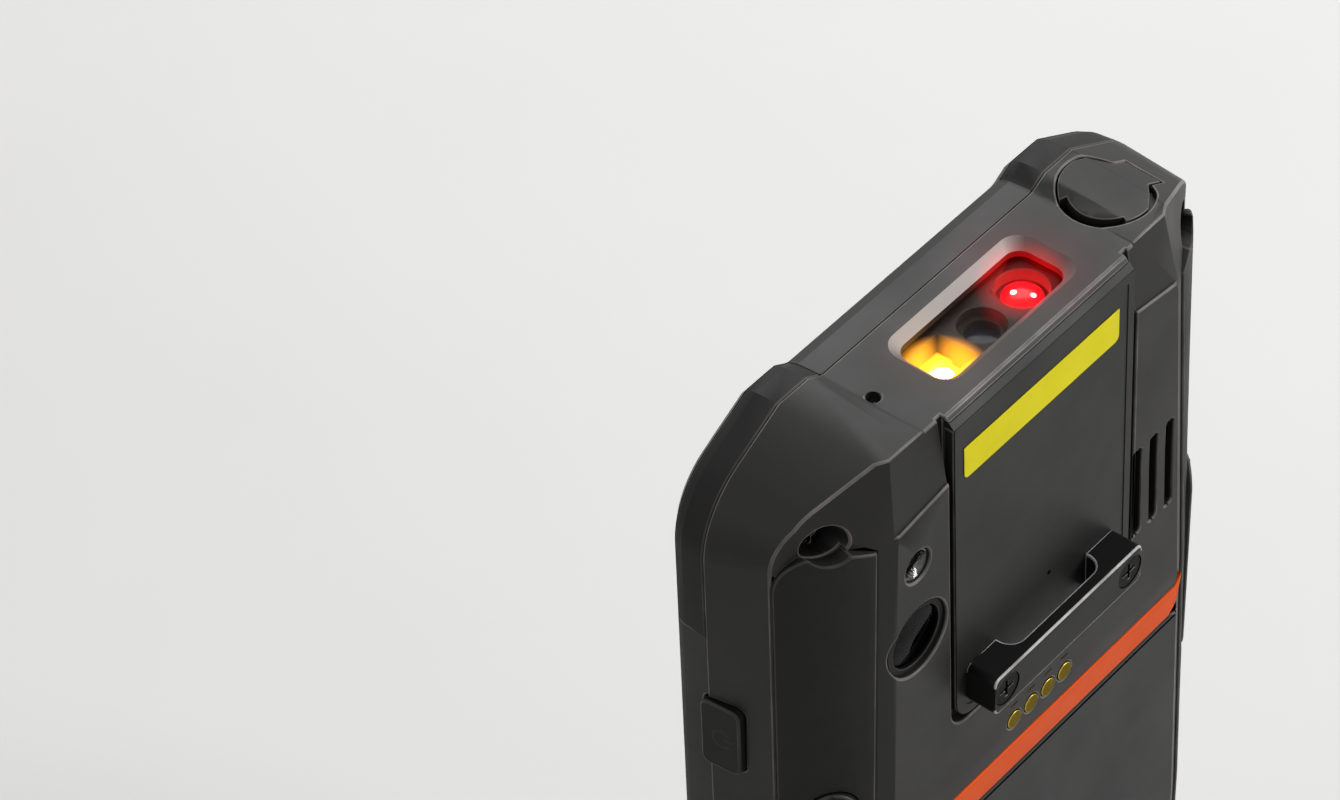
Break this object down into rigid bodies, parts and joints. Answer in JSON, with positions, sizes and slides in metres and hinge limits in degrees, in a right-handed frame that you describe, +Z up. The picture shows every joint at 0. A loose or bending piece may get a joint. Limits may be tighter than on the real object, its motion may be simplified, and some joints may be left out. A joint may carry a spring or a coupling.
{
  "type": "handheld barcode data terminal",
  "caption": "Rugged handheld data terminal with a barcode scan window in its top edge, a display on the front and a strap bar on its raised back panel.",
  "frame": {"origin": "centre of the flat foot that the terminal stands on", "axes": "+Z up the length to the scan window in the top edge, +Y out of the back, -Y out of the display, +X towards the flank with the power key"},
  "size_m": [0.0804, 0.0267, 0.1613],
  "materials": {
    "case_plastic": "fine moulded texture",
    "bumper_rubber": "matt overmould",
    "grip_rubber": "matt overmould",
    "panel_plastic": "fine moulded texture",
    "door_plastic": "satin",
    "key_plastic": "satin",
    "yellow_plastic": "printed film",
    "orange_plastic": "satin",
    "dark_anodised": "dark anodised, bright edges",
    "screw_steel": "darkened steel",
    "pin_steel": "plain steel",
    "gold_contact": "gold plate",
    "window_glass": "clear",
    "display_glass": "black-backed cover glass",
    "camera_glass": "dark coated glass",
    "lens_glass": "coated lens",
    "red_lens": "clear red",
    "amber_lamp": "clear amber",
    "flash_plastic": "frosted",
    "black_plastic": "matt black",
    "mesh_fabric": "fine acoustic mesh",
    "seal_rubber": "silicone",
    "board_green": "solder mask",
    "shield_steel": "tinned sheet",
    "battery_plastic": "moulded case"
  },
  "bodies": {
    "case": {"aimer_lens": "red_lens", "battery_contacts": "gold_contact", "battery_pack": "battery_plastic", "board_screws": "screw_steel", "bumper_foot_corners": "bumper_rubber", "bumper_top_corners": "bumper_rubber", "camera_module": "black_plastic", "camera_ring": "dark_anodised", "camera_window": "camera_glass", "charging_pads": "gold_contact", "contact_boards": "board_green", "corner_screws": "screw_steel", "cover_pins": "pin_steel", "display_glass": "display_glass", "display_module": "black_plastic", "dock_contacts": "gold_contact", "earpiece": "black_plastic", "earpiece_mesh": "mesh_fabric", "flash_led": "amber_lamp", "flash_lens": "flash_plastic", "front_camera": "black_plastic", "front_housing": "case_plastic", "front_key_domes": "shield_steel", "grip_left": "grip_rubber", "grip_right": "grip_rubber", "main_board": "board_green", "microphone": "shield_steel", "orange_stripe": "orange_plastic", "port_socket": "shield_steel", "raised_panel": "panel_plastic", "rear_housing": "case_plastic", "scan_engine_frame": "black_plastic", "scan_lamp": "amber_lamp", "scan_lens": "lens_glass", "scan_lens_barrel": "black_plastic", "scan_switches": "black_plastic", "scan_window": "window_glass", "seal_gasket": "seal_rubber", "shield_cans": "shield_steel", "side_key_switches": "black_plastic", "side_port_socket": "shield_steel", "speaker": "black_plastic", "speaker_mesh": "mesh_fabric", "strap_bar": "dark_anodised", "strap_bar_screws": "screw_steel", "vibration_motor": "shield_steel", "yellow_strip": "yellow_plastic"},
    "power_key_body": {"power_key": "key_plastic"},
    "volume_up_key_body": {"volume_up_key": "key_plastic"},
    "volume_down_key_body": {"volume_down_key": "key_plastic"},
    "scan_key_left_body": {"scan_key_left": "key_plastic"},
    "scan_key_right_body": {"scan_key_right": "key_plastic"},
    "front_key_left_body": {"front_key_left": "key_plastic"},
    "front_key_middle_body": {"front_key_middle": "key_plastic"},
    "front_key_right_body": {"front_key_right": "key_plastic"},
    "port_cover_body": {"port_cover": "case_plastic"},
    "side_port_cover_body": {"side_port_cover": "bumper_rubber"},
    "battery_door_body": {"battery_door": "door_plastic"},
    "battery_latch_body": {"battery_latch": "key_plastic"}
  },
  "joints": [
    {"name": "power_key_press", "type": "slide", "parent": "case", "child": "power_key_body", "axis": [-1, 0, 0], "range_m": [0, 0.00035], "stiffness_N_per_m": 800},
    {"name": "volume_up_press", "type": "slide", "parent": "case", "child": "volume_up_key_body", "axis": [1, 0, 0], "range_m": [0, 0.00035], "stiffness_N_per_m": 800},
    {"name": "volume_down_press", "type": "slide", "parent": "case", "child": "volume_down_key_body", "axis": [1, 0, 0], "range_m": [0, 0.00035], "stiffness_N_per_m": 800},
    {"name": "scan_key_right_press", "type": "slide", "parent": "case", "child": "scan_key_right_body", "axis": [-0.6915, -0.7224, 0], "range_m": [0, 0.00035], "stiffness_N_per_m": 800},
    {"name": "scan_key_left_press", "type": "slide", "parent": "case", "child": "scan_key_left_body", "axis": [0.6915, -0.7224, 0], "range_m": [0, 0.00035], "stiffness_N_per_m": 800},
    {"name": "front_key_left_press", "type": "slide", "parent": "case", "child": "front_key_left_body", "axis": [0, 1, 0], "range_m": [0, 0.0003], "stiffness_N_per_m": 800},
    {"name": "front_key_middle_press", "type": "slide", "parent": "case", "child": "front_key_middle_body", "axis": [0, 1, 0], "range_m": [0, 0.0003], "stiffness_N_per_m": 800},
    {"name": "front_key_right_press", "type": "slide", "parent": "case", "child": "front_key_right_body", "axis": [0, 1, 0], "range_m": [0, 0.0003], "stiffness_N_per_m": 800},
    {"name": "port_cover_hinge", "type": "hinge", "parent": "case", "child": "port_cover_body", "pos_m": [-0.0296, 0.0016, 0.1579], "axis": [0, -1, 0], "range_deg": [0, 90]},
    {"name": "side_port_cover_hinge", "type": "hinge", "parent": "case", "child": "side_port_cover_body", "pos_m": [-0.03784, -0.00046, 0.0234], "axis": [-0.1961, -0.9806, 0], "range_deg": [0, 90]},
    {"name": "battery_door_hinge", "type": "hinge", "parent": "case", "child": "battery_door_body", "pos_m": [0, 0.01135, 0.09457], "axis": [1, 0, 0], "range_deg": [0, 40]},
    {"name": "battery_latch_slide", "type": "slide", "parent": "case", "child": "battery_latch_body", "axis": [1, 0, 0], "range_m": [0, 0.004]}
  ]
}
